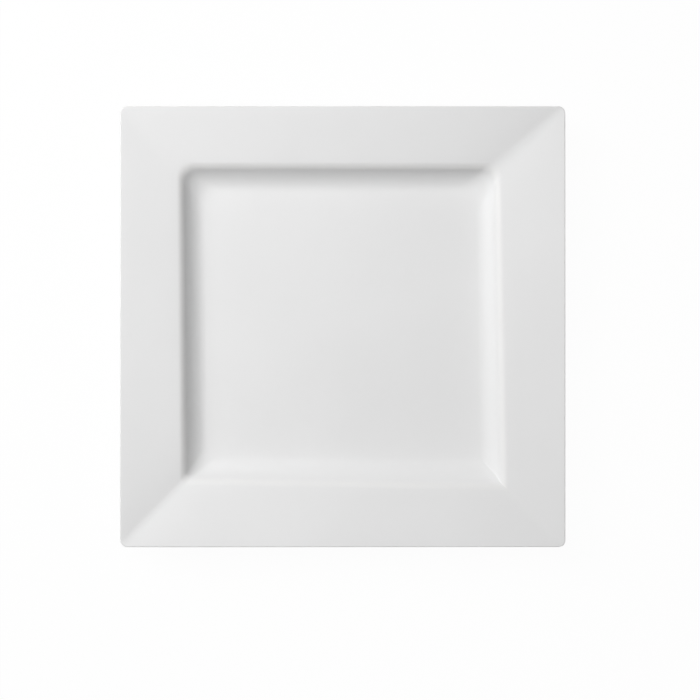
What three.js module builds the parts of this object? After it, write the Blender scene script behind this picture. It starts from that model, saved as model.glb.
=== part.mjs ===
// Square dinner plate in glazed porcelain. The pressed body has a flat rim that slopes up from the well to the
// plate's edge, a well with coved walls, and a foot ring underneath. Two coats of glaze cover it and leave only
// the foot of the ring bare. Millimetres, +Z up, origin at the centre of the plane that the foot ring stands on.

import * as THREE from "three";
import { mergeVertices } from "three/addons/utils/BufferGeometryUtils.js";

// Rim
const PLATE_SIDE = 260; // edge to edge, over the glaze
const PLATE_CORNER_RADIUS = 4; // in plan, over the glaze
const RIM_WIDTH = 35.9; // from the edge of the body in to the shoulder of the well
const RIM_RISE = 4.5; // from the shoulder up to the edge
const RIM_THICKNESS = 4.2;
const LIP_RADIUS = 0.15; // rounds the upper corner of the edge
const UNDER_LIP_RADIUS = 1.8; // rounds the lower corner of the edge
const UNDER_RIM_RADIUS = 8; // hollow where the wall of the well runs out into the rim, underneath

// Well
const WELL_DEPTH = 9.4; // from the shoulder down to the floor
const WALL_ANGLE = 58; // degrees from level, at its steepest
const WALL_THICKNESS = 5;
const SHOULDER_RADIUS = 6; // rounds the rim over into the wall
const SHOULDER_CORNER_RADIUS = 6; // in plan
const COVE_RADIUS = 14; // hollow where the wall runs out into the floor
const FLOOR_CORNER_RADIUS = 9; // in plan
const FLOOR_THICKNESS = 5;

// Underside
const HEEL_RADIUS = 11; // rounds the wall of the well into the base
const FOOT_INSET = 8.5; // from the heel in to the foot ring
const FOOT_WIDTH = 4.5; // of the face that the ring stands on
const FOOT_HEIGHT = 2.5;
const FOOT_DRAFT = 0.5; // by which each side of the ring widens towards its root
const FOOT_ROOT_RADIUS = 1.5;
const FOOT_TOE_RADIUS = 0.8;

// Glaze
const GLAZE_THICKNESS = 0.3;
const GLAZE_LINE = 1; // height at which the glaze stops on both sides of the foot ring

// Fineness of the facets
const CORNER_STEPS = 6; // in each plan corner
const CHORD_ERROR = 0.08; // furthest that a facet of the section strays from its arc
const SHORTEST_EDGE = 1e-6; // below this, two roundings have met and leave no straight between them

// Section of the body, from its middle line out: u is the distance to the middle of a side and z is the height.
// Rim and wall are straight lines that cross at the shoulder, and the underside follows them a thickness below.
const bodyHalf = PLATE_SIDE / 2 - GLAZE_THICKNESS;
const shoulderHalf = bodyHalf - RIM_WIDTH;
const floorTop = FOOT_HEIGHT + FLOOR_THICKNESS;
const shoulderTop = floorTop + WELL_DEPTH;
const lipTop = shoulderTop + RIM_RISE;
const wallAngle = THREE.MathUtils.degToRad(WALL_ANGLE);
const wallSlope = Math.tan(wallAngle);
const rimSlope = RIM_RISE / RIM_WIDTH;
const underWall = shoulderTop - WALL_THICKNESS / Math.cos(wallAngle); // height of each underside line below
const underRim = shoulderTop - RIM_THICKNESS * Math.hypot(1, rimSlope); // the shoulder
const coveHalf = shoulderHalf - WELL_DEPTH / wallSlope;
const floorHalf = coveHalf - COVE_RADIUS * Math.tan(wallAngle / 2);
const underRimHalf = shoulderHalf + (underRim - underWall) / (wallSlope - rimSlope);
const heelHalf = shoulderHalf - (underWall - FOOT_HEIGHT) / wallSlope;
const footOuter = heelHalf - FOOT_INSET;
const footInner = footOuter - FOOT_WIDTH;
const glazeLineDraft = (FOOT_DRAFT * GLAZE_LINE) / FOOT_HEIGHT;

const corner = (u, z, radius = 0) => ({ point: new THREE.Vector2(u, z), radius });
const innerGlazeLine = corner(footInner - glazeLineDraft, GLAZE_LINE);
const outerGlazeLine = corner(footOuter + glazeLineDraft, GLAZE_LINE);

const baseSection = sectionThrough([
  corner(0, FOOT_HEIGHT),
  corner(footInner - FOOT_DRAFT, FOOT_HEIGHT, FOOT_ROOT_RADIUS),
  innerGlazeLine,
]);
const footSection = sectionThrough([
  innerGlazeLine,
  corner(footInner, 0, FOOT_TOE_RADIUS),
  corner(footOuter, 0, FOOT_TOE_RADIUS),
  outerGlazeLine,
]);
const faceSection = sectionThrough([
  outerGlazeLine,
  corner(footOuter + FOOT_DRAFT, FOOT_HEIGHT, FOOT_ROOT_RADIUS),
  corner(heelHalf, FOOT_HEIGHT, HEEL_RADIUS),
  corner(underRimHalf, underRim + (underRimHalf - shoulderHalf) * rimSlope, UNDER_RIM_RADIUS),
  corner(bodyHalf, underRim + RIM_RISE, UNDER_LIP_RADIUS),
  corner(bodyHalf, lipTop, LIP_RADIUS),
  corner(shoulderHalf, shoulderTop, SHOULDER_RADIUS),
  corner(coveHalf, floorTop, COVE_RADIUS),
  corner(0, floorTop),
]);

// The corners as a line of points with arcs in place of the rounded corners. Each point has the direction that
// faces out of the body there, which is to the right of the way the section runs.
function sectionThrough(corners) {
  const curves = roundedCurves(corners);
  const samples = curves.flatMap((curve) => {
    const steps = stepsAlong(curve);
    return Array.from({ length: steps }, (_, step) => sampleOf(curve, step / steps));
  });
  return [...samples, sampleOf(curves.at(-1), 1)];
}

function sampleOf(curve, share) {
  const place = curve.getPoint(share);
  const along = curve.getTangent(share);
  return { u: place.x, z: place.y, out: new THREE.Vector2(along.y, -along.x) };
}

function stepsAlong(curve) {
  if (!curve.isEllipseCurve) {
    return 1;
  }
  const sweep = curve.getLength() / curve.xRadius;
  const widestStep = 2 * Math.acos(Math.max(0, 1 - CHORD_ERROR / curve.xRadius));
  return Math.ceil(sweep / widestStep);
}

// Straight lines and arcs through the corners. Where two roundings would meet on the straight between them,
// both are limited to the length that is there.
function roundedCurves(corners) {
  const points = corners.map(({ point }) => point);
  const runs = points.slice(1).map((point, i) => point.clone().sub(points[i]));
  const turns = corners.map((_, i) => (runs[i - 1] && runs[i] ? turnBetween(runs[i - 1], runs[i]) : 0));
  const wanted = corners.map(({ radius }, i) => radius * Math.tan(Math.abs(turns[i]) / 2));
  const shares = runs.map((run, i) => Math.min(1, run.length() / (wanted[i] + wanted[i + 1])));
  const curves = [];
  let from = points[0];
  runs.forEach((run, i) => {
    const after = Math.min(shares[i], shares[i + 1] ?? 1);
    const cut = wanted[i + 1] * after;
    const to = points[i + 1].clone().addScaledVector(run.clone().normalize(), -cut);
    if (to.distanceTo(from) > SHORTEST_EDGE) {
      curves.push(new THREE.LineCurve(from, to));
    }
    from = to;
    if (cut > 0) {
      const arc = roundingFrom(to, run, turns[i + 1], corners[i + 1].radius * after);
      curves.push(arc);
      from = arc.getPoint(1);
    }
  });
  return curves;
}

function turnBetween(before, after) {
  return Math.atan2(before.cross(after), before.dot(after));
}

// An arc that leaves the start along a run and turns by the angle, to the left where that is positive.
function roundingFrom(start, run, turn, radius) {
  const side = Math.sign(turn);
  const heading = run.angle();
  const towardsCentre = heading + (side * Math.PI) / 2;
  const centreU = start.x + radius * Math.cos(towardsCentre);
  const centreZ = start.y + radius * Math.sin(towardsCentre);
  const startAngle = towardsCentre + Math.PI;
  return new THREE.EllipseCurve(centreU, centreZ, radius, radius, startAngle, startAngle + turn, side < 0);
}

// Plan radius of the corners, which eases from the plate's edge to the shoulder and on to the floor.
function cornerRadiusAt(u) {
  if (u <= floorHalf) {
    return (FLOOR_CORNER_RADIUS * u) / floorHalf;
  }
  const edgeRadius = PLATE_CORNER_RADIUS - GLAZE_THICKNESS;
  const { mapLinear } = THREE.MathUtils;
  return u <= shoulderHalf
    ? mapLinear(u, floorHalf, shoulderHalf, FLOOR_CORNER_RADIUS, SHOULDER_CORNER_RADIUS)
    : mapLinear(u, shoulderHalf, bodyHalf, SHOULDER_CORNER_RADIUS, edgeRadius);
}

// One turn round the plate, counterclockwise from above, through a point of the section: a square with round
// corners. The lift moves it off the body, and then the round corners keep their centres.
function ringAt({ u, z, out }, lift) {
  const spread = lift * out.x;
  const radius = cornerRadiusAt(u) + spread;
  const centre = u + spread - radius;
  const height = z + lift * out.y;
  const quarters = [
    [1, 1],
    [-1, 1],
    [-1, -1],
    [1, -1],
  ];
  return quarters.flatMap(([sideX, sideY], quarter) =>
    Array.from({ length: CORNER_STEPS + 1 }, (_, step) => {
      const angle = (quarter + step / CORNER_STEPS) * (Math.PI / 2);
      const x = sideX * centre + radius * Math.cos(angle);
      const y = sideY * centre + radius * Math.sin(angle);
      return new THREE.Vector3(x, y, height);
    }),
  );
}

// Triangles between each ring and the next. A ring on the middle line is a single point.
function skinOver(rings, facingIn = false) {
  const triangles = [];
  rings.slice(1).forEach((upper, level) => {
    const lower = rings[level];
    lower.forEach((a, i) => {
      const next = (i + 1) % lower.length;
      triangles.push([a, lower[next], upper[next]], [a, upper[next], upper[i]]);
    });
  });
  const whole = triangles.filter(([a, b, c]) => !a.equals(b) && !b.equals(c) && !c.equals(a));
  return whole.flatMap(([a, b, c]) => (facingIn ? [a, c, b] : [a, b, c]));
}

function bodyGeometry() {
  const section = [...baseSection.slice(0, -1), ...footSection.slice(0, -1), ...faceSection];
  return solidFrom(skinOver(section.map((sample) => ringAt(sample, 0))));
}

// A coat lies on the same facets as the body, and its open edge is closed by the step at the glaze line.
function coatGeometry(section) {
  const under = section.map((sample) => ringAt(sample, 0));
  const over = section.map((sample) => ringAt(sample, GLAZE_THICKNESS));
  return solidFrom([
    ...skinOver([under[0], over[0]]),
    ...skinOver(over),
    ...skinOver([over.at(-1), under.at(-1)]),
    ...skinOver(under, true),
  ]);
}

function solidFrom(triangleCorners) {
  const geometry = mergeVertices(new THREE.BufferGeometry().setFromPoints(triangleCorners));
  geometry.computeVertexNormals();
  return geometry;
}

function piece(name, geometry, material) {
  const mesh = new THREE.Mesh(geometry, material);
  mesh.name = name;
  return mesh;
}

const barePorcelain = new THREE.MeshStandardMaterial({ color: 0xe6e2da, roughness: 0.85, metalness: 0 });
const whiteGlaze = new THREE.MeshStandardMaterial({ color: 0xebebea, roughness: 0.25, metalness: 0 });

const plate = new THREE.Group();
plate.add(piece("porcelain_body", bodyGeometry(), barePorcelain));
plate.add(piece("face_glaze", coatGeometry(faceSection), whiteGlaze));
plate.add(piece("base_glaze", coatGeometry(baseSection), whiteGlaze));

export default plate;
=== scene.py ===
"""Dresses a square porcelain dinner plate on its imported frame.

Three pieces stand for the three solids: the fired body with its bare foot ring, the coat of white glaze over
the face, rim and underside, and the second coat inside the foot ring. All of them are drawn from one section
of the plate, which is spun to a round dish, pressed square and settled a little, as a plate settles in the
kiln. Metres, +Z up, origin under the middle of the foot.
"""

import logging
import math
from abc import ABC, abstractmethod
from dataclasses import dataclass
from enum import Enum

import bmesh
import bpy
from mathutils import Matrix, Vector, noise


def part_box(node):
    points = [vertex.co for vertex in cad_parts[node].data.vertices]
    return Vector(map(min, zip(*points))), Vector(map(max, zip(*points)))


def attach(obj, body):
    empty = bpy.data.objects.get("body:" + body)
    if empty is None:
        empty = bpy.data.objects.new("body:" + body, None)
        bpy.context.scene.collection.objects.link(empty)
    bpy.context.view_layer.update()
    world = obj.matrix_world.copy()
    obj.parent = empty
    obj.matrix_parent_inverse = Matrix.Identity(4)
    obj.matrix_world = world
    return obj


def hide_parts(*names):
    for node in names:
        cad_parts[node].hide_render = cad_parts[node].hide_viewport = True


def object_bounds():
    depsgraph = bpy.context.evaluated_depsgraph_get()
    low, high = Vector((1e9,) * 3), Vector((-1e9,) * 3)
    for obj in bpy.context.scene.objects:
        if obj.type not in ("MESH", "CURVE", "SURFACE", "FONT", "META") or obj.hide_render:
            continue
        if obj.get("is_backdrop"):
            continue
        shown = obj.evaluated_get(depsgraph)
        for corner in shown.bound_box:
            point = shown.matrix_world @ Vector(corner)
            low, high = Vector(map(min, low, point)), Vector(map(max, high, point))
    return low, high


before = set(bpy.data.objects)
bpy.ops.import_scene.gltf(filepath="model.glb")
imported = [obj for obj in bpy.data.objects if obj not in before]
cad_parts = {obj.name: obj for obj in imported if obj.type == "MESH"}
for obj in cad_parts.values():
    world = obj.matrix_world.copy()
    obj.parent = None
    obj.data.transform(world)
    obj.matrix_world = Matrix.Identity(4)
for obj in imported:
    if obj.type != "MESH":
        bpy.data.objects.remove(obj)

LOG = logging.getLogger("square_plate")
QUARTER = math.pi / 2
NEAR = 2e-6  # metres below which two points are one

Color = tuple[float, float, float, float]
Move = tuple[float, float, float]
Range = tuple[float, float]
Values = dict[str | int, object]

WHOLE: Range = (0.0, 1.0)  # ends of a share: none and all


class Slot(Enum):
    """Names of the record's material slots, which the pieces carry. The pieces get their finishes from the
    materials built in main, not from these slots.
    """

    PORCELAIN = "bare_porcelain"
    GLAZE = "white_glaze"


@dataclass(frozen=True)
class Corner:
    """A corner of the section: its distance from the middle line, its height and its rounding."""

    half: float
    height: float
    radius: float = 0.0

    @property
    def place(self) -> Vector:
        """The corner as a point of the upright plane y = 0."""
        return Vector((self.half, 0.0, self.height))


@dataclass(frozen=True)
class PlateSizes:
    """Sizes of the fired body under its glaze, in metres. The half side comes from the frame."""

    half_side: float
    edge_corner: float = 0.0037
    rim_width: float = 0.0359
    rim_rise: float = 0.0045
    rim_thickness: float = 0.0042
    lip_radius: float = 0.00015
    under_lip_radius: float = 0.0018
    under_rim_radius: float = 0.008
    well_depth: float = 0.0094
    wall_angle: float = math.radians(58)
    wall_thickness: float = 0.005
    shoulder_radius: float = 0.006
    cove_radius: float = 0.014
    floor_thickness: float = 0.005
    heel_radius: float = 0.011
    foot_inset: float = 0.0085
    foot_width: float = 0.0045
    foot_height: float = 0.0025
    foot_draft: float = 0.0005
    foot_root_radius: float = 0.0015
    foot_toe_radius: float = 0.0008
    glaze_thickness: float = 0.0003
    glaze_line: float = 0.001

    @property
    def shoulder_half(self) -> float:
        """Distance from the middle to the shoulder, where the lines of rim and wall cross."""
        return self.half_side - self.rim_width

    @property
    def floor_top(self) -> float:
        """Height of the floor of the well."""
        return self.foot_height + self.floor_thickness

    @property
    def shoulder_top(self) -> float:
        """Height at which the lines of rim and wall cross."""
        return self.floor_top + self.well_depth

    @property
    def lip_top(self) -> float:
        """Height of the upper corner of the edge."""
        return self.shoulder_top + self.rim_rise

    @property
    def wall_slope(self) -> float:
        """Rise of the wall for each metre out."""
        return math.tan(self.wall_angle)

    @property
    def rim_slope(self) -> float:
        """Rise of the rim for each metre out."""
        return self.rim_rise / self.rim_width

    @property
    def under_wall(self) -> float:
        """Height of the wall's outer line straight below the shoulder."""
        return self.shoulder_top - self.wall_thickness / math.cos(self.wall_angle)

    @property
    def under_rim(self) -> float:
        """Height of the rim's lower line straight below the shoulder."""
        return self.shoulder_top - self.rim_thickness * math.hypot(1.0, self.rim_slope)

    @property
    def cove_half(self) -> float:
        """Distance from the middle to where the lines of wall and floor cross."""
        return self.shoulder_half - self.well_depth / self.wall_slope

    @property
    def floor_half(self) -> float:
        """Distance from the middle to where the flat floor ends and the cove begins."""
        return self.cove_half - self.cove_radius * math.tan(self.wall_angle / 2)

    @property
    def rim_half(self) -> float:
        """Distance from the middle to where the shoulder's rounding runs out into the rim."""
        rim_angle = math.atan(self.rim_slope)
        run_out = self.shoulder_radius * math.tan((self.wall_angle - rim_angle) / 2)
        return self.shoulder_half + run_out * math.cos(rim_angle)

    @property
    def heel_half(self) -> float:
        """Distance from the middle to where the lines of outer wall and base cross."""
        return self.shoulder_half - (self.under_wall - self.foot_height) / self.wall_slope

    @property
    def foot_outer(self) -> float:
        """Distance from the middle to the outside of the foot ring's standing face."""
        return self.heel_half - self.foot_inset

    @property
    def foot_inner(self) -> float:
        """Distance from the middle to the inside of the foot ring's standing face."""
        return self.foot_outer - self.foot_width

    def middle_height(self, half: float) -> float:
        """Height halfway through the body.

        Args:
            half: Distance from the middle line.

        Returns:
            The height between the lines of the upper side and those of the underside.
        """
        out = half - self.shoulder_half
        upper = self.shoulder_top + out * (self.rim_slope if out > 0 else self.wall_slope)
        under = min(self.under_rim + out * self.rim_slope, self.under_wall + out * self.wall_slope)
        return (max(self.floor_top, upper) + max(self.foot_height, under)) / 2

    def glaze_line_corner(self, outside: bool) -> Corner:
        """The point of the foot ring's side at which a coat of glaze stops.

        Args:
            outside: True for the side that faces the rim, False for the side that faces the middle.

        Returns:
            The point as a corner without rounding.
        """
        draft = self.foot_draft * self.glaze_line / self.foot_height
        half = self.foot_outer + draft if outside else self.foot_inner - draft
        return Corner(half, self.glaze_line)

    def base_corners(self) -> tuple[Corner, ...]:
        """The section of the base inside the foot ring.

        Returns:
            The corners, from the middle out to the inner glaze line.
        """
        return (
            Corner(0.0, self.foot_height),
            Corner(self.foot_inner - self.foot_draft, self.foot_height, self.foot_root_radius),
            self.glaze_line_corner(outside=False),
        )

    def foot_corners(self) -> tuple[Corner, ...]:
        """The section of the bare foot.

        Returns:
            The corners, from the inner to the outer glaze line.
        """
        return (
            self.glaze_line_corner(outside=False),
            Corner(self.foot_inner, 0.0, self.foot_toe_radius),
            Corner(self.foot_outer, 0.0, self.foot_toe_radius),
            self.glaze_line_corner(outside=True),
        )

    def face_corners(self) -> tuple[Corner, ...]:
        """The section of the underside, the rim and the well.

        Returns:
            The corners, from the outer glaze line under the rim, round the lip and in to the middle.
        """
        gap_below_shoulder = self.under_rim - self.under_wall
        under_rim_half = self.shoulder_half + gap_below_shoulder / (self.wall_slope - self.rim_slope)
        under_rim_top = self.under_rim + (under_rim_half - self.shoulder_half) * self.rim_slope
        return (
            self.glaze_line_corner(outside=True),
            Corner(self.foot_outer + self.foot_draft, self.foot_height, self.foot_root_radius),
            Corner(self.heel_half, self.foot_height, self.heel_radius),
            Corner(under_rim_half, under_rim_top, self.under_rim_radius),
            Corner(self.half_side, self.under_rim + self.rim_rise, self.under_lip_radius),
            Corner(self.half_side, self.lip_top, self.lip_radius),
            Corner(self.shoulder_half, self.shoulder_top, self.shoulder_radius),
            Corner(self.cove_half, self.floor_top, self.cove_radius),
            Corner(0.0, self.floor_top),
        )


class SectionPen:
    """Draws a section into a bmesh, as straight runs and as arcs round its corners.

    It also marks on each point how the melted glaze settles there: above 0 in a hollow, where it pools, and
    below 0 on a round edge, where it draws thin.
    """

    POOL_LAYER = "glaze_pool"
    FLAT_TO_POOLED: Range = (0.0, 1.0)  # marks from a flat stretch to a full pool
    FLAT_TO_THINNED: Range = (0.0, -1.0)  # marks from a flat stretch to the thinnest edge
    LONGEST_RUN = 0.008
    WIDEST_TURN = math.radians(5)
    FULL_POOL_RADIUS = 0.004  # a rounding as tight as this pools or thins the glaze fully

    def __init__(self, mesh: bmesh.types.BMesh) -> None:
        """Gets ready to draw.

        Args:
            mesh: The bmesh that the section is drawn into.
        """
        self.mesh = mesh
        self.pool = mesh.verts.layers.float.new(self.POOL_LAYER)
        self.tip: bmesh.types.BMVert | None = None

    def draw(self, corners: tuple[Corner, ...]) -> None:
        """Draws on from the tip, or from the first corner if nothing is drawn yet, to the last corner.

        Args:
            corners: The corners in order, of which the first is where the tip is.
        """
        if self.tip is None:
            self.tip = self.mesh.verts.new(corners[0].place)
        for before, here, after in zip(corners, corners[1:], corners[2:]):
            self._round(before.place, here, after.place)
        self._run_to(corners[-1].place)

    def _round(self, before: Vector, here: Corner, after: Vector) -> None:
        """Draws a straight run up to a corner and the arc that rounds it.

        Args:
            before: The corner before it.
            here: The corner that is rounded.
            after: The corner after it.
        """
        heading = (here.place - before).normalized()
        leaving = (after - here.place).normalized()
        turn = math.atan2(heading.x * leaving.z - heading.z * leaving.x, heading.dot(leaving))
        start = here.place - heading * here.radius * math.tan(abs(turn) / 2)
        self._run_to(start)
        side = math.copysign(1.0, turn)
        centre = start + Vector((-heading.z, 0.0, heading.x)) * here.radius * side
        drawn = set(self.mesh.verts)
        arc = bmesh.ops.spin(
            self.mesh,
            geom=[self.tip],
            cent=centre,
            axis=(0.0, -1.0, 0.0),
            angle=turn,
            steps=math.ceil(abs(turn) / self.WIDEST_TURN),
        )
        self.tip = next(item for item in arc["geom_last"] if isinstance(item, bmesh.types.BMVert))
        depth = -side * min(1.0, self.FULL_POOL_RADIUS / here.radius)
        for vert in set(self.mesh.verts) - drawn:
            share = (start - centre).angle(vert.co - centre) / abs(turn)
            vert[self.pool] = depth * math.sin(math.pi * min(1.0, share))

    def _run_to(self, place: Vector) -> None:
        """Draws a straight run in even steps.

        Args:
            place: Where the run ends.
        """
        way = place - self.tip.co
        if way.length < NEAR:
            return
        steps = math.ceil(way.length / self.LONGEST_RUN)
        for _ in range(steps):
            self.tip = bmesh.ops.extrude_vert_indiv(self.mesh, verts=[self.tip])["verts"][0]
            bmesh.ops.translate(self.mesh, verts=[self.tip], vec=way / steps)
            self.tip[self.pool] = 0.0


@dataclass(frozen=True)
class WellCorner:
    """Plan radii of a corner of the well: at the shoulder, and where the cove runs out into the floor.

    Where both are 0, the walls meet in a crease.
    """

    shoulder: float
    floor: float


@dataclass(frozen=True)
class SquarePlan:
    """The plan of the plate: how a round dish is pressed into a square with round corners.

    The corners of the well leave the press a little different from each other. They are listed
    counterclockwise from above, and the first lies between +X and +Y. Underneath, all four are alike.
    """

    sizes: PlateSizes
    well_corners: tuple[WellCorner, ...] = (
        WellCorner(shoulder=0.0073, floor=0.0139),
        WellCorner(shoulder=0.0085, floor=0.0115),
        WellCorner(shoulder=0.003, floor=0.007),
        WellCorner(shoulder=0.0, floor=0.0),
    )
    under_corner: WellCorner = WellCorner(shoulder=0.006, floor=0.009)
    steps_in_side: int = 24
    steps_in_corner: int = 14

    @property
    def steps(self) -> int:
        """Number of steps in a full turn."""
        return len(self.well_corners) * (self.steps_in_side + self.steps_in_corner)

    def corner_radius(self, half: float, corner: WellCorner) -> float:
        """Radius of a round corner at a distance from the middle.

        Args:
            half: Distance from the middle to the middle of a side.
            corner: The corner of the well that it is in line with.

        Returns:
            The radius, which eases from the plate's edge to the shoulder and on to the floor.
        """
        sizes = self.sizes
        if half <= sizes.floor_half:
            return corner.floor * half / sizes.floor_half
        if half <= sizes.rim_half:
            share = (half - sizes.floor_half) / (sizes.rim_half - sizes.floor_half)
            return corner.floor + share * (corner.shoulder - corner.floor)
        share = (half - sizes.rim_half) / (sizes.half_side - sizes.rim_half)
        return corner.shoulder + share * (sizes.edge_corner - corner.shoulder)

    def squared(self, place: Vector) -> Vector:
        """Where a point of the round dish lies on the square plate.

        Args:
            place: A point of the round dish.

        Returns:
            The point at the same height. Along the sides, the points crowd towards the corners.
        """
        half = math.hypot(place.x, place.y)
        turn, share = divmod(math.atan2(place.y, place.x) / QUARTER, 1.0)
        upper_corner = self.well_corners[int(turn) % len(self.well_corners)]
        corner = upper_corner if place.z > self.sizes.middle_height(half) else self.under_corner
        radius = self.corner_radius(half, corner)
        centre = half - radius
        side_share = self.steps_in_side / (self.steps_in_side + self.steps_in_corner) / 2
        if share < side_share:
            across, along = half, centre * math.sin(QUARTER * share / side_share)
        elif share > 1.0 - side_share:
            across, along = centre * math.sin(QUARTER * (1.0 - share) / side_share), half
        else:
            angle = QUARTER * (share - side_share) / (1.0 - 2 * side_share)
            across, along = centre + radius * math.cos(angle), centre + radius * math.sin(angle)
        cos, sin = round(math.cos(turn * QUARTER)), round(math.sin(turn * QUARTER))
        return Vector((across * cos - along * sin, across * sin + along * cos, place.z))

    def press(self, mesh: bmesh.types.BMesh) -> None:
        """Spins the section in a bmesh round the middle line and presses it square.

        Args:
            mesh: The bmesh that holds the section and takes the surface.
        """
        bmesh.ops.spin(
            mesh,
            geom=mesh.verts[:] + mesh.edges[:],
            axis=(0.0, 0.0, 1.0),
            angle=math.tau,
            steps=self.steps,
            use_merge=True,
        )
        for vert in mesh.verts:
            vert.co = self.squared(vert.co)
        bmesh.ops.remove_doubles(mesh, verts=mesh.verts, dist=NEAR)
        bmesh.ops.recalc_face_normals(mesh, faces=mesh.faces)


@dataclass(frozen=True)
class CornerMoves:
    """How far the plate moves at the four corners of its well, at one level or along the folds."""

    back_left: Move
    back_right: Move
    front_left: Move
    front_right: Move

    def between(self, right: float, back: float) -> Vector:
        """The move of a point between the corners.

        Args:
            right: Share of the way from the left to the right.
            back: Share of the way from the front to the back.

        Returns:
            The move.
        """
        front_move = Vector(self.front_left).lerp(Vector(self.front_right), right)
        back_move = Vector(self.back_left).lerp(Vector(self.back_right), right)
        return front_move.lerp(back_move, back)


@dataclass(frozen=True)
class KilnWarp:
    """How the plate gives in the fire: its clay shrinks unevenly and the well goes out of square.

    The rim dips, and sags at two of its folds, the lines from the corners of the well to those of the edge.
    The foot stays on its plane and the edge stays straight in plan.
    """

    sizes: PlateSizes
    shrink: float = 0.0094  # share by which it shrinks more from front to back than across
    shoulder: CornerMoves = CornerMoves(
        back_left=(-0.0011, 0.0013, -0.0006),
        back_right=(-0.0035, 0.001, -0.0006),
        front_left=(0.0008, 0.0026, 0.0006),
        front_right=(0.0005, -0.0009, -0.0004),
    )
    floor: CornerMoves = CornerMoves(
        back_left=(-0.0017, -0.0003, 0.0),
        back_right=(-0.0016, 0.0, 0.0),
        front_left=(0.0005, 0.0035, 0.0),
        front_right=(0.0007, 0.0019, 0.0),
    )
    folds: CornerMoves = CornerMoves(
        back_left=(0.0, 0.0, 0.0),
        back_right=(0.0, 0.0, -0.0008),
        front_left=(0.0, 0.0, -0.0008),
        front_right=(0.0, 0.0, 0.0),
    )
    fold_reach: float = 0.014  # distance along the rim over which the sag of a fold fades
    fold_width: float = 0.005  # distance over which its bottom is round
    dip: float = 0.00025  # furthest that the surface dips or rises besides
    patch: float = 0.08  # length over which the dips change
    seat: float = 3.7  # place in the noise that the dips are read from

    def settle(self, mesh: bmesh.types.BMesh) -> None:
        """Moves the points of a pressed surface.

        Args:
            mesh: The bmesh that holds the surface.
        """
        for vert in mesh.verts:
            vert.co = self._settled(vert.co)

    def _settled(self, place: Vector) -> Vector:
        """Where a point of the pressed surface comes to lie.

        Args:
            place: The point before it is fired.

        Returns:
            The point after it is fired.
        """
        sizes = self.sizes
        right = self._share(place.x, -sizes.shoulder_half, sizes.shoulder_half)
        back = self._share(place.y, -sizes.shoulder_half, sizes.shoulder_half)
        raised = self._share(place.z, sizes.floor_top, sizes.shoulder_top)
        move = self.floor.between(right, back).lerp(self.shoulder.between(right, back), raised)
        along, half = sorted((abs(place.x), abs(place.y)))
        move.xy *= self._share(half, sizes.half_side, sizes.shoulder_half)
        off_fold = math.hypot(half - along, self.fold_width) - self.fold_width
        move += self.folds.between(right, back) * math.exp(-off_fold / self.fold_reach) * raised
        move.z += self.dip * noise.noise(Vector((place.x / self.patch, place.y / self.patch, self.seat)))
        moved = place + move * self._share(place.z, sizes.foot_height, sizes.floor_top)
        moved.y *= 1.0 - self.shrink
        return moved

    @staticmethod
    def _share(value: float, start: float, end: float) -> float:
        """How far a value has come from a start to an end, from 0 to 1."""
        return min(1.0, max(0.0, (value - start) / (end - start)))


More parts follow.
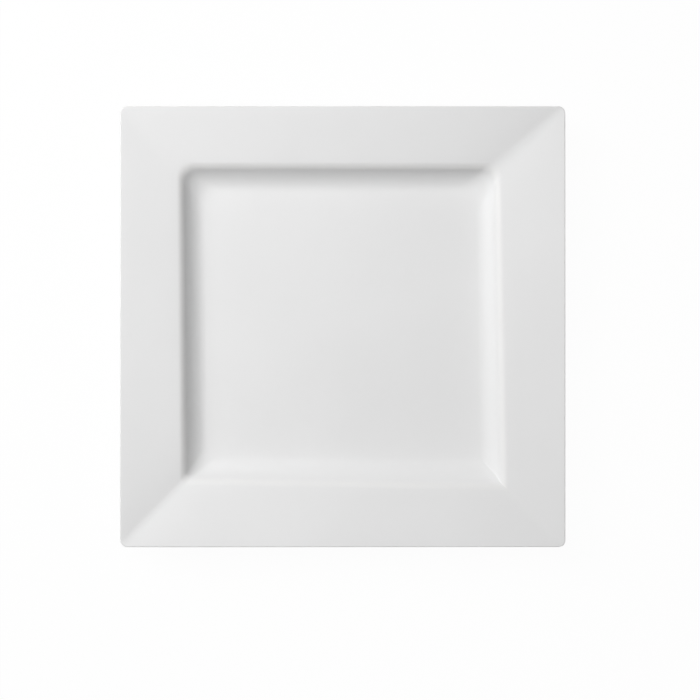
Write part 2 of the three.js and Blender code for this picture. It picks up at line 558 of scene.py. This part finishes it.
class ShaderKit:
    """Builds shader node trees: the groups that the finishes share, and the nodes and links inside them."""

    @staticmethod
    def group(name: str, inputs: dict[str, str], outputs: dict[str, str]) -> bpy.types.ShaderNodeTree:
        """Starts a shader node group.

        Args:
            name: Name of the group.
            inputs: Socket types by socket name.
            outputs: Socket types by socket name.

        Returns:
            The group with its sockets and its two end nodes.
        """
        tree = bpy.data.node_groups.new(name, "ShaderNodeTree")
        for way, sockets in (("INPUT", inputs), ("OUTPUT", outputs)):
            for socket, kind in sockets.items():
                tree.interface.new_socket(socket, in_out=way, socket_type=kind)
        tree.nodes.new("NodeGroupInput")
        tree.nodes.new("NodeGroupOutput")
        return tree

    @staticmethod
    def node(
        tree: bpy.types.NodeTree, kind: str, values: Values | None = None, **settings: object
    ) -> bpy.types.Node:
        """Adds a node.

        Args:
            tree: The tree that takes the node.
            kind: The node's type.
            values: Values or sockets for the node's inputs, by input name or number.
            **settings: Values for the node's own settings.

        Returns:
            The node.
        """
        made = tree.nodes.new(kind)
        for setting, value in settings.items():
            setattr(made, setting, value)
        for socket, value in (values or {}).items():
            if isinstance(value, bpy.types.NodeSocket):
                tree.links.new(value, made.inputs[socket])
            else:
                made.inputs[socket].default_value = value
        return made

    @classmethod
    def math(cls, tree: bpy.types.NodeTree, operation: str, *terms: object) -> bpy.types.NodeSocket:
        """Adds a sum, product or other step of arithmetic, held between 0 and 1.

        Args:
            tree: The tree that takes the node.
            operation: The math node's operation.
            *terms: Values or sockets that it works on.

        Returns:
            The socket that gives the result.
        """
        made = cls.node(tree, "ShaderNodeMath", dict(enumerate(terms)), operation=operation, use_clamp=True)
        return made.outputs[0]

    @classmethod
    def cloud(
        cls,
        tree: bpy.types.NodeTree,
        place: bpy.types.NodeSocket,
        scale: object,
        detail: float,
        roughness: float = 0.5,
    ) -> bpy.types.NodeSocket:
        """Adds a cloudy noise.

        Args:
            tree: The tree that takes the node.
            place: The socket that gives the point.
            scale: Waves to the metre, as a value or a socket.
            detail: How many times finer waves are laid over the first ones.
            roughness: Strength of each layer of finer waves, as a share of the one before.

        Returns:
            The socket that gives the noise.
        """
        values = {"Vector": place, "Scale": scale, "Detail": detail, "Roughness": roughness}
        return cls.node(tree, "ShaderNodeTexNoise", values).outputs[0]

    @classmethod
    def ramp(
        cls, tree: bpy.types.NodeTree, value: bpy.types.NodeSocket, given: Range, wanted: Range = WHOLE
    ) -> bpy.types.NodeSocket:
        """Maps one range of a value onto another, and holds it at the ends.

        Args:
            tree: The tree that takes the node.
            value: The socket that gives the value.
            given: Ends of the range that the value comes in.
            wanted: Ends of the range that it leaves in.

        Returns:
            The socket that gives the mapped value.
        """
        ends = {"From Min": given[0], "From Max": given[1], "To Min": wanted[0], "To Max": wanted[1]}
        return cls.node(tree, "ShaderNodeMapRange", {"Value": value, **ends}).outputs[0]

    @classmethod
    def blend(
        cls, tree: bpy.types.NodeTree, share: object, below: object, above: object
    ) -> bpy.types.NodeSocket:
        """Blends two colours.

        Args:
            tree: The tree that takes the node.
            share: Share of the upper colour, as a value or a socket.
            below: The lower colour, as a value or a socket.
            above: The upper colour, as a value or a socket.

        Returns:
            The socket that gives the blend.
        """
        values = {"Factor": share, "A": below, "B": above}
        return cls.node(tree, "ShaderNodeMix", values, data_type="RGBA").outputs["Result"]


class FiredEffects:
    """The three effects that fired clay and its glaze share, each built once as a shader node group."""

    FLOAT = "NodeSocketFloat"
    COLOR = "NodeSocketColor"
    VECTOR = "NodeSocketVector"
    DRIFT_DETAIL = 4.0
    DRIFT_ROUGHNESS = 0.55
    DRIFT_RANGE: Range = (0.3, 0.7)  # part of the noise's range that holds nearly all of it
    WAVE_DETAIL = 1.0
    GRAIN_DETAIL = 2.0

    def __init__(self) -> None:
        """Builds the groups."""
        self.tone = self._build_tone()
        self.relief = self._build_relief()
        self.specks = self._build_specks()

    def _build_tone(self) -> bpy.types.ShaderNodeTree:
        """Builds a soft drift between two colours, as the kiln's heat leaves it.

        Returns:
            The group, which also gives the share of the second colour.
        """
        tree = ShaderKit.group(
            "kiln_tone",
            {"Vector": self.VECTOR, "Scale": self.FLOAT, "Light": self.COLOR, "Dark": self.COLOR},
            {"Color": self.COLOR, "Share": self.FLOAT},
        )
        given, wanted = tree.nodes["Group Input"].outputs, tree.nodes["Group Output"].inputs
        drift = ShaderKit.cloud(
            tree, given["Vector"], given["Scale"], self.DRIFT_DETAIL, self.DRIFT_ROUGHNESS
        )
        share = ShaderKit.ramp(tree, drift, self.DRIFT_RANGE)
        tree.links.new(ShaderKit.blend(tree, share, given["Light"], given["Dark"]), wanted["Color"])
        tree.links.new(share, wanted["Share"])
        return tree

    def _build_relief(self) -> bpy.types.ShaderNodeTree:
        """Builds a relief of broad waves with a finer grain on them.

        Returns:
            The group, which gives the height.
        """
        tree = ShaderKit.group(
            "fired_relief",
            {
                "Vector": self.VECTOR,
                "Wave Scale": self.FLOAT,
                "Grain Scale": self.FLOAT,
                "Grain": self.FLOAT,
            },
            {"Height": self.FLOAT},
        )
        given = tree.nodes["Group Input"].outputs
        wave = ShaderKit.cloud(tree, given["Vector"], given["Wave Scale"], self.WAVE_DETAIL)
        grain = ShaderKit.cloud(tree, given["Vector"], given["Grain Scale"], self.GRAIN_DETAIL)
        height = ShaderKit.node(
            tree, "ShaderNodeMath", {0: grain, 1: given["Grain"], 2: wave}, operation="MULTIPLY_ADD"
        )
        tree.links.new(height.outputs[0], tree.nodes["Group Output"].inputs["Height"])
        return tree

    def _build_specks(self) -> bpy.types.ShaderNodeTree:
        """Builds a few small round specks, scattered one to a cell in a share of the cells.

        Returns:
            The group, which gives the mask of the specks.
        """
        tree = ShaderKit.group(
            "kiln_specks",
            {"Vector": self.VECTOR, "Scale": self.FLOAT, "Size": self.FLOAT, "Share": self.FLOAT},
            {"Mask": self.FLOAT},
        )
        given = tree.nodes["Group Input"].outputs
        cells = ShaderKit.node(
            tree, "ShaderNodeTexVoronoi", {"Vector": given["Vector"], "Scale": given["Scale"]}
        )
        inside = ShaderKit.math(tree, "SUBTRACT", given["Size"], cells.outputs["Distance"])
        spot = ShaderKit.math(tree, "DIVIDE", inside, given["Size"])
        draw = ShaderKit.node(tree, "ShaderNodeSeparateColor", {"Color": cells.outputs["Color"]})
        chosen = ShaderKit.math(tree, "LESS_THAN", draw.outputs[0], given["Share"])
        mask = ShaderKit.math(tree, "MULTIPLY", spot, chosen)
        tree.links.new(mask, tree.nodes["Group Output"].inputs["Mask"])
        return tree


@dataclass(frozen=True)
class Finish(ABC):
    """A fired surface: two tones that drift into each other, a relief and specks.

    Scales are waves or cells to the metre, and the size of a speck is a share of its cell.
    """

    name: str
    light: Color
    dark: Color
    drift_scale: float
    wave_scale: float
    grain_scale: float
    grain: float
    relief_depth: float
    speck: Color
    speck_scale: float
    speck_size: float
    speck_share: float

    def material(self, effects: FiredEffects) -> bpy.types.Material:
        """Builds the material.

        Args:
            effects: The shared shader groups.

        Returns:
            The material.
        """
        made = bpy.data.materials.new(self.name)
        made.use_nodes = True
        tree = made.node_tree
        shader = tree.nodes["Principled BSDF"]
        place = ShaderKit.node(tree, "ShaderNodeTexCoord").outputs["Object"]
        tone = ShaderKit.node(
            tree,
            "ShaderNodeGroup",
            node_tree=effects.tone,
            values={"Vector": place, "Scale": self.drift_scale, "Light": self.light, "Dark": self.dark},
        )
        specks = ShaderKit.node(
            tree,
            "ShaderNodeGroup",
            node_tree=effects.specks,
            values={
                "Vector": place,
                "Scale": self.speck_scale,
                "Size": self.speck_size,
                "Share": self.speck_share,
            },
        )
        relief = ShaderKit.node(
            tree,
            "ShaderNodeGroup",
            node_tree=effects.relief,
            values={
                "Vector": place,
                "Wave Scale": self.wave_scale,
                "Grain Scale": self.grain_scale,
                "Grain": self.grain,
            },
        )
        color, roughness = self.shade(tree, place, tone)
        speckled = ShaderKit.blend(tree, specks.outputs["Mask"], color, self.speck)
        bump = ShaderKit.node(
            tree, "ShaderNodeBump", {"Height": relief.outputs["Height"], "Distance": self.relief_depth}
        )
        tree.links.new(speckled, shader.inputs["Base Color"])
        tree.links.new(roughness, shader.inputs["Roughness"])
        tree.links.new(bump.outputs["Normal"], shader.inputs["Normal"])
        return made

    @abstractmethod
    def shade(
        self, tree: bpy.types.NodeTree, place: bpy.types.NodeSocket, tone: bpy.types.Node
    ) -> tuple[bpy.types.NodeSocket, bpy.types.NodeSocket]:
        """Adds what only this finish has.

        Args:
            tree: The material's node tree.
            place: The socket that gives the point on the piece.
            tone: The group node that gives the drifting tone.

        Returns:
            The sockets that give the colour and the roughness.
        """


@dataclass(frozen=True)
class WhiteGlaze(Finish):
    """White satin glaze with a ripple: deeper in tone where it pools, thin and warmer on round edges."""

    name: str = "white_glaze"
    light: Color = (0.806, 0.806, 0.806, 1.0)
    dark: Color = (0.794, 0.794, 0.794, 1.0)
    drift_scale: float = 14.0
    wave_scale: float = 110.0
    grain_scale: float = 900.0
    grain: float = 0.12
    relief_depth: float = 0.00004
    speck: Color = (0.66, 0.65, 0.63, 1.0)
    speck_scale: float = 120.0
    speck_size: float = 0.03
    speck_share: float = 0.15
    pooled: Color = (0.788, 0.791, 0.793, 1.0)
    thinned: Color = (0.812, 0.809, 0.802, 1.0)
    smoothest: float = 0.47
    roughest: float = 0.53

    def shade(
        self, tree: bpy.types.NodeTree, place: bpy.types.NodeSocket, tone: bpy.types.Node
    ) -> tuple[bpy.types.NodeSocket, bpy.types.NodeSocket]:
        """Tints the pools and the thin edges, and lets the gloss drift with the tone.

        Args:
            tree: The material's node tree.
            place: The socket that gives the point on the piece; not used here.
            tone: The group node that gives the drifting tone.

        Returns:
            The sockets that give the colour and the roughness.
        """
        marks = ShaderKit.node(tree, "ShaderNodeAttribute", attribute_name=SectionPen.POOL_LAYER)
        deep = ShaderKit.ramp(tree, marks.outputs["Fac"], SectionPen.FLAT_TO_POOLED)
        thin = ShaderKit.ramp(tree, marks.outputs["Fac"], SectionPen.FLAT_TO_THINNED)
        pooled = ShaderKit.blend(tree, deep, tone.outputs["Color"], self.pooled)
        color = ShaderKit.blend(tree, thin, pooled, self.thinned)
        roughness = ShaderKit.ramp(tree, tone.outputs["Share"], WHOLE, (self.smoothest, self.roughest))
        return color, roughness


@dataclass(frozen=True)
class BarePorcelain(Finish):
    """Fired porcelain without glaze: matte, warm and grainy, rubbed grey on the face that it stands on."""

    name: str = "bare_porcelain"
    light: Color = (0.78, 0.76, 0.72, 1.0)
    dark: Color = (0.73, 0.71, 0.67, 1.0)
    drift_scale: float = 60.0
    wave_scale: float = 500.0
    grain_scale: float = 3000.0
    grain: float = 0.8
    relief_depth: float = 0.00004
    speck: Color = (0.4, 0.36, 0.31, 1.0)
    speck_scale: float = 260.0
    speck_size: float = 0.06
    speck_share: float = 0.3
    rubbed: Color = (0.5, 0.49, 0.47, 1.0)
    rub_top: float = 0.0002  # height up to which the foot is rubbed
    rub_scale: float = 220.0
    rub_detail: float = 5.0
    rub_edges: Range = (0.5, 0.72)  # part of the noise's range in which a patch fades in
    matte: float = 0.88
    polished: float = 0.62

    def shade(
        self, tree: bpy.types.NodeTree, place: bpy.types.NodeSocket, tone: bpy.types.Node
    ) -> tuple[bpy.types.NodeSocket, bpy.types.NodeSocket]:
        """Rubs the standing face grey and smoother, in patches.

        Args:
            tree: The material's node tree.
            place: The socket that gives the point on the piece.
            tone: The group node that gives the drifting tone.

        Returns:
            The sockets that give the colour and the roughness.
        """
        height = ShaderKit.node(tree, "ShaderNodeSeparateXYZ", {"Vector": place}).outputs["Z"]
        sole = ShaderKit.ramp(tree, height, (self.rub_top, 0.0))
        patches = ShaderKit.cloud(tree, place, self.rub_scale, self.rub_detail)
        worn = ShaderKit.ramp(tree, patches, self.rub_edges)
        rub = ShaderKit.math(tree, "MULTIPLY", sole, worn)
        color = ShaderKit.blend(tree, rub, tone.outputs["Color"], self.rubbed)
        return color, ShaderKit.ramp(tree, rub, WHOLE, (self.matte, self.polished))


@dataclass(frozen=True)
class PlatePiece(ABC):
    """A piece of the plate: a mesh from the plate's section that stands for one node of the frame."""

    name: str
    node: str
    slot: Slot
    plan: SquarePlan
    warp: KilnWarp

    SHARP = math.radians(30)  # edges that turn further than this are not smoothed over

    @abstractmethod
    def shape(self, mesh: bmesh.types.BMesh) -> None:
        """Makes the piece's surface.

        Args:
            mesh: An empty bmesh that takes the surface.
        """

    def build(self) -> bpy.types.Object:
        """Builds the piece and sets it on the frame.

        Returns:
            The piece's object.
        """
        surface = bmesh.new()
        self.shape(surface)
        for face in surface.faces:
            face.smooth = True
        for edge in surface.edges:
            edge.smooth = edge.calc_face_angle(0.0) < self.SHARP
        mesh = bpy.data.meshes.new(self.name)
        surface.to_mesh(mesh)
        surface.free()
        piece = bpy.data.objects.new(self.name, mesh)
        bpy.context.scene.collection.objects.link(piece)
        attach(piece, "root")
        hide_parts(self.node)
        return piece

    def dress(self, piece: bpy.types.Object, finish: bpy.types.Material) -> None:
        """Gives the piece its finish."""
        piece.data.materials.append(finish)


@dataclass(frozen=True)
class FiredBody(PlatePiece):
    """The fired porcelain body, of which only the foot ring shows."""

    def shape(self, mesh: bmesh.types.BMesh) -> None:
        """Draws the whole section from the base to the well, presses it square and settles it.

        Args:
            mesh: An empty bmesh that takes the surface.
        """
        sizes = self.plan.sizes
        pen = SectionPen(mesh)
        for corners in (sizes.base_corners(), sizes.foot_corners(), sizes.face_corners()):
            pen.draw(corners)
        self.plan.press(mesh)
        self.warp.settle(mesh)


class CoatSide(Enum):
    """The way that the middle of a coat of glaze faces."""

    UP = 1.0
    DOWN = -1.0


@dataclass(frozen=True)
class GlazeCoat(PlatePiece):
    """A coat of glaze on a stretch of the body's surface, which ends in a rolled edge on the foot ring."""

    corners: tuple[Corner, ...]
    side: CoatSide
    edge_roll: float = 0.00024
    edge_segments: int = 4

    def shape(self, mesh: bmesh.types.BMesh) -> None:
        """Draws the coat's stretch of the section, presses and settles it, and thickens it off the body.

        Args:
            mesh: An empty bmesh that takes the surface.
        """
        SectionPen(mesh).draw(self.corners)
        self.plan.press(mesh)
        self.warp.settle(mesh)
        middle = min(mesh.faces, key=lambda face: face.calc_center_median().xy.length)
        if middle.normal.z * self.side.value < 0:
            bmesh.ops.reverse_faces(mesh, faces=mesh.faces)
        bmesh.ops.solidify(mesh, geom=mesh.faces[:], thickness=-self.plan.sizes.glaze_thickness)
        bmesh.ops.recalc_face_normals(mesh, faces=mesh.faces)
        self._roll_edge(mesh)

    def _roll_edge(self, mesh: bmesh.types.BMesh) -> None:
        """Rolls the free edge of the coat over at the glaze line.

        Args:
            mesh: The bmesh that holds the thick coat.
        """
        foot_height = self.plan.sizes.foot_height
        low = (edge for edge in mesh.edges if edge.verts[0].co.z < foot_height)
        step = {edge for edge in low if edge.calc_face_angle(0.0) > self.SHARP}
        ends = ([edge for edge in face.edges if edge in step] for face in mesh.faces)
        free = [max(pair, key=self._reach) for pair in ends if len(pair) == 2]
        bmesh.ops.bevel(
            mesh,
            geom=free,
            offset=self.edge_roll,
            offset_type="OFFSET",
            affect="EDGES",
            segments=self.edge_segments,
            profile=0.5,
            material=-1,
        )

    def _reach(self, edge: bmesh.types.BMEdge) -> float:
        """How far an edge of the coat's end lies towards the coat's free side."""
        return (edge.verts[0].co + edge.verts[1].co).xy.length * self.side.value


@dataclass(frozen=True)
class SoftLamp:
    """A square softbox that faces the plate.

    Its bearing from +X and its height angle are in degrees, and its power is in watts.
    """

    name: str
    bearing: float
    height_angle: float
    power: float
    distance: float = 1.2
    side: float = 0.72

    def light(self) -> None:
        """Sets the lamp up."""
        bearing, height_angle = math.radians(self.bearing), math.radians(self.height_angle)
        level = math.cos(height_angle)
        way = Vector((level * math.cos(bearing), level * math.sin(bearing), math.sin(height_angle)))
        lamp = bpy.data.lights.new(self.name, "AREA")
        lamp.shape = "SQUARE"
        lamp.size = self.side
        lamp.energy = self.power
        holder = bpy.data.objects.new(self.name, lamp)
        holder.location = way * self.distance
        holder.rotation_mode = "QUATERNION"
        holder.rotation_quaternion = (-way).to_track_quat("-Z", "Y")
        bpy.context.scene.collection.objects.link(holder)


@dataclass(frozen=True)
class OverheadView:
    """The photograph's view: straight down, with +Y up the picture.

    The picture and the plate in it are in pixels, and the lens and the sensor are in millimetres.
    """

    picture_side: float = 700.0
    plate_side: float = 445.3
    plate_middle: tuple[float, float] = (342.8, 326.5)
    lens: float = 100.0
    sensor: float = 36.0

    def aim(self, low: Vector, high: Vector) -> None:
        """Places the camera.

        Args:
            low: Lowest corner of the plate.
            high: Highest corner of the plate.
        """
        pixel = (high.x - low.x) / self.plate_side
        right = (self.picture_side / 2 - self.plate_middle[0]) * pixel
        down = (self.picture_side / 2 - self.plate_middle[1]) * pixel
        camera = bpy.data.cameras.new("overhead")
        camera.lens = self.lens
        camera.sensor_width = self.sensor
        holder = bpy.data.objects.new("overhead", camera)
        holder.location = (right, -down, high.z + pixel * self.picture_side * self.lens / self.sensor)
        bpy.context.scene.collection.objects.link(holder)
        bpy.context.scene.camera = holder


@dataclass(frozen=True)
class Studio:
    """The floor, the soft lamps, the even light round them and the camera."""

    floor_side: float = 12.0
    floor_color: Color = (0.9, 0.9, 0.9, 1.0)
    white_share: float = 0.965  # of the floor's look that stays white in its shadows
    world_color: Color = (1.0, 1.0, 1.0, 1.0)
    world_strength: float = 0.038
    lamps: tuple[SoftLamp, ...] = (
        SoftLamp("key_softbox", bearing=150.2, height_angle=37.7, power=10.22),
        SoftLamp("fill_softbox", bearing=120.0, height_angle=49.6, power=1.43),
        SoftLamp("top_softbox", bearing=90.0, height_angle=89.0, power=5.77),
    )

    WHITE_STRENGTH = 1.0  # at which what glows looks white

    def set_up(self, low: Vector, high: Vector) -> None:
        """Sets everything up round the plate.

        Args:
            low: Lowest corner of the plate.
            high: Highest corner of the plate.
        """
        self._lay_floor(low.z)
        self._light_round()
        for lamp in self.lamps:
            lamp.light()
        OverheadView().aim(low, high)
        bpy.context.scene.view_settings.view_transform = "Standard"

    def _lay_floor(self, height: float) -> None:
        """Lays the floor.

        Args:
            height: Height of the floor.
        """
        plane = bmesh.new()
        bmesh.ops.create_grid(plane, x_segments=1, y_segments=1, size=self.floor_side / 2)
        bmesh.ops.translate(plane, verts=plane.verts, vec=(0.0, 0.0, height))
        mesh = bpy.data.meshes.new("floor")
        plane.to_mesh(mesh)
        plane.free()
        mesh.materials.append(self._pale_floor())
        floor = bpy.data.objects.new("floor", mesh)
        bpy.context.scene.collection.objects.link(floor)
        floor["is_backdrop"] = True

    def _pale_floor(self) -> bpy.types.Material:
        """Builds the floor's finish, which looks white and keeps the plate's shadow.

        Returns:
            The material.
        """
        made = bpy.data.materials.new("pale_floor")
        made.use_nodes = True
        tree = made.node_tree
        tree.nodes.remove(tree.nodes["Principled BSDF"])
        pale = ShaderKit.node(tree, "ShaderNodeBsdfDiffuse", {"Color": self.floor_color})
        white = ShaderKit.node(tree, "ShaderNodeEmission", {"Strength": self.WHITE_STRENGTH})
        looks = {0: self._seen_share(tree, self.white_share), 1: pale.outputs[0], 2: white.outputs[0]}
        mix = ShaderKit.node(tree, "ShaderNodeMixShader", looks)
        tree.links.new(mix.outputs[0], tree.nodes["Material Output"].inputs["Surface"])
        return made

    @staticmethod
    def _seen_share(tree: bpy.types.NodeTree, share: float) -> bpy.types.NodeSocket:
        """A value for what is seen straight, in a reflection or through glass.

        Args:
            tree: The tree that takes the nodes.
            share: The value there; elsewhere it is 0.

        Returns:
            The socket that gives the value.
        """
        path = ShaderKit.node(tree, "ShaderNodeLightPath").outputs
        seen = ShaderKit.math(tree, "MAXIMUM", path["Is Camera Ray"], path["Is Glossy Ray"])
        through = ShaderKit.math(tree, "MAXIMUM", seen, path["Is Transmission Ray"])
        return ShaderKit.math(tree, "MULTIPLY", through, share)

    def _light_round(self) -> None:
        """Lights the plate evenly from all round, and looks white where it is seen."""
        world = bpy.data.worlds.new("studio")
        world.use_nodes = True
        tree = world.node_tree
        sky = tree.nodes["Background"]
        sky.inputs["Color"].default_value = self.world_color
        seen = self._seen_share(tree, self.WHITE_STRENGTH - self.world_strength)
        tree.links.new(ShaderKit.math(tree, "ADD", seen, self.world_strength), sky.inputs["Strength"])
        bpy.context.scene.world = world


def main() -> None:
    """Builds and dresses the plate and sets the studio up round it."""
    logging.basicConfig(level=logging.INFO, format="%(name)s: %(message)s")
    cad_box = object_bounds()
    sizes = PlateSizes(half_side=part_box("porcelain_body")[1].x)
    make = {"plan": SquarePlan(sizes), "warp": KilnWarp(sizes)}
    face, base = sizes.face_corners(), sizes.base_corners()
    effects = FiredEffects()
    glaze = WhiteGlaze().material(effects)
    porcelain = BarePorcelain().material(effects)
    pieces = (
        (FiredBody("fired_body", "porcelain_body", Slot.PORCELAIN, **make), porcelain),
        (GlazeCoat("face_coat", "face_glaze", Slot.GLAZE, corners=face, side=CoatSide.UP, **make), glaze),
        (GlazeCoat("base_coat", "base_glaze", Slot.GLAZE, corners=base, side=CoatSide.DOWN, **make), glaze),
    )
    for piece, finish in pieces:
        built = piece.build()
        piece.dress(built, finish)
        LOG.info("%s has %d faces", built.name, len(built.data.polygons))
    Studio().set_up(*cad_box)


if __name__ == "__main__":
    main()
